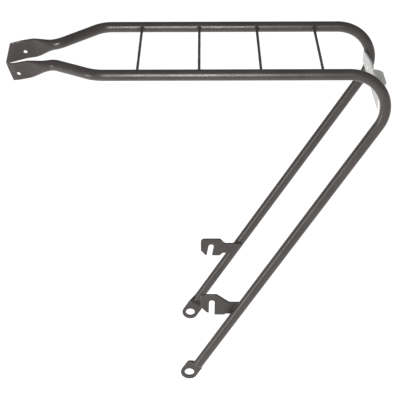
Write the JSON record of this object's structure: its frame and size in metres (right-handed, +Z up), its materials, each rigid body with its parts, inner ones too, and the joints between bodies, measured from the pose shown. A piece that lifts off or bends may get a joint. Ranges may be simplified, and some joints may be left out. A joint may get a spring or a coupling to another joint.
{
  "type": "bicycle rear carrier",
  "caption": "Welded tubular steel carrier: long platform with thin cross rods, legs down to the rear axle, strap hooks and a light plate.",
  "frame": {"origin": "middle of the rear axle line, between the two eyelets", "axes": "+X to the rear of the bicycle, +Y to its right-hand side, along the axle line, +Z up, square to the platform"},
  "size_m": [0.4232, 0.1466, 0.4307],
  "materials": {
    "tube_enamel": "gloss brown-black stove enamel on steel tube",
    "rod_enamel": "gloss brown-black stove enamel on steel wire",
    "plate_enamel": "gloss brown-black stove enamel on stamped steel plate",
    "weld_enamel": "gloss brown-black stove enamel over rippled weld metal",
    "plate_zinc": "dull bright zinc on stamped steel plate"
  },
  "bodies": {
    "root": {"left_side_tube": "tube_enamel", "right_side_tube": "tube_enamel", "cross_rod_1": "rod_enamel", "cross_rod_2": "rod_enamel", "cross_rod_3": "rod_enamel", "cross_rod_4": "rod_enamel", "left_strap_hook": "plate_enamel", "right_strap_hook": "plate_enamel", "light_plate": "plate_zinc", "left_rod_welds": "weld_enamel", "right_rod_welds": "weld_enamel", "left_hook_welds": "weld_enamel", "right_hook_welds": "weld_enamel", "light_plate_welds": "weld_enamel"}
  },
  "joints": []
}
